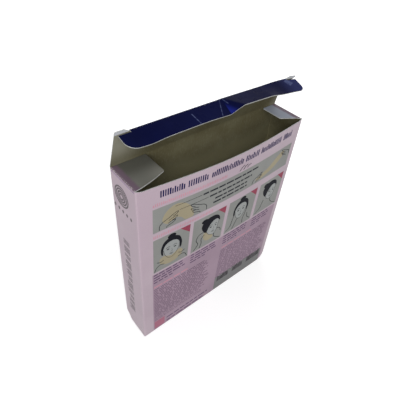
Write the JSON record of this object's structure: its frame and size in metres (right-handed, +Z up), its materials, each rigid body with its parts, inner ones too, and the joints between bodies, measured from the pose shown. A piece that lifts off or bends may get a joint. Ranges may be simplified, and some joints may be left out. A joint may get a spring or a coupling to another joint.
{
  "type": "cosmetic box",
  "caption": "Slim folding carton standing upright, with dust flaps folded in and its hinged lid and tuck flap half open.",
  "frame": {"origin": "middle of the closed bottom's flat footprint, on the surface that the carton stands on", "axes": "+Z up to the mouth, +X to the right along the wide front wall, -Y out of the front wall, and the lid hinged on the back wall at +Y"},
  "size_m": [0.1324, 0.0309, 0.1759],
  "materials": {
    "printed_board": "semi-gloss coated lilac-pink print outside, raw grey-brown board inside",
    "lid_board": "navy coated print outside, raw grey-brown board inside",
    "tuck_board": "glossy navy coated print outside, raw grey-brown board inside"
  },
  "bodies": {
    "carton": {"carton_body": "printed_board"},
    "lid": {"lid_panel": "lid_board"},
    "tuck": {"tuck_flap": "tuck_board"}
  },
  "joints": [
    {"name": "lid_hinge", "type": "hinge", "parent": "carton", "child": "lid", "pos_m": [0, 0.0126, 0.15025], "axis": [-1, 0, 0], "range_deg": [-38.5, 110.5]},
    {"name": "tuck_fold", "type": "hinge", "parent": "lid", "child": "tuck", "pos_m": [0, 0.0036, 0.17432], "axis": [1, 0, 0], "range_deg": [-81, 39]}
  ]
}
